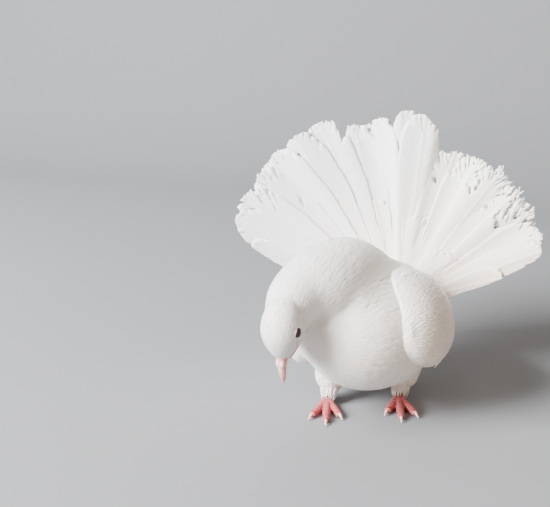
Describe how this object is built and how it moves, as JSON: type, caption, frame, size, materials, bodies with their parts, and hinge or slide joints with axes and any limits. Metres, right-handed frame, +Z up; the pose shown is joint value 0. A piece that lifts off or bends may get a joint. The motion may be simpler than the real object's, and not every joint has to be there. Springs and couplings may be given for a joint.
{
  "type": "fantail pigeon model",
  "caption": "Life-size model of a white fantail pigeon crouched on both feet, neck arched over with the bill pointing at the floor, and the tail fan upright.",
  "frame": {"origin": "on the floor, at the middle of the model's footprint box", "axes": "+Z up, the bird faces -Y, its left side and the width of the tail fan lie along X"},
  "size_m": [0.2248, 0.1792, 0.1895],
  "materials": {
    "plumage": "soft white body feathers, satin",
    "flight_feathers": "white tail and wing feathers, smooth",
    "bill": "pale pink horn, smooth",
    "cere": "powdery white skin",
    "eye": "dark brown, wet gloss",
    "foot_skin": "deep pink scaly skin",
    "claw": "cream horn, smooth"
  },
  "bodies": {
    "root": {"torso": "plumage", "neck": "plumage", "head": "plumage", "eye_left": "eye", "eye_right": "eye", "bill_upper": "bill", "bill_lower": "bill", "cere": "cere", "tail": "flight_feathers", "wing_left": "flight_feathers", "wing_right": "flight_feathers", "thigh_left": "plumage", "foot_left": "foot_skin", "claw_left_inner": "claw", "claw_left_middle": "claw", "claw_left_outer": "claw", "claw_left_hind": "claw", "thigh_right": "plumage", "foot_right": "foot_skin", "claw_right_inner": "claw", "claw_right_middle": "claw", "claw_right_outer": "claw", "claw_right_hind": "claw"}
  },
  "joints": []
}
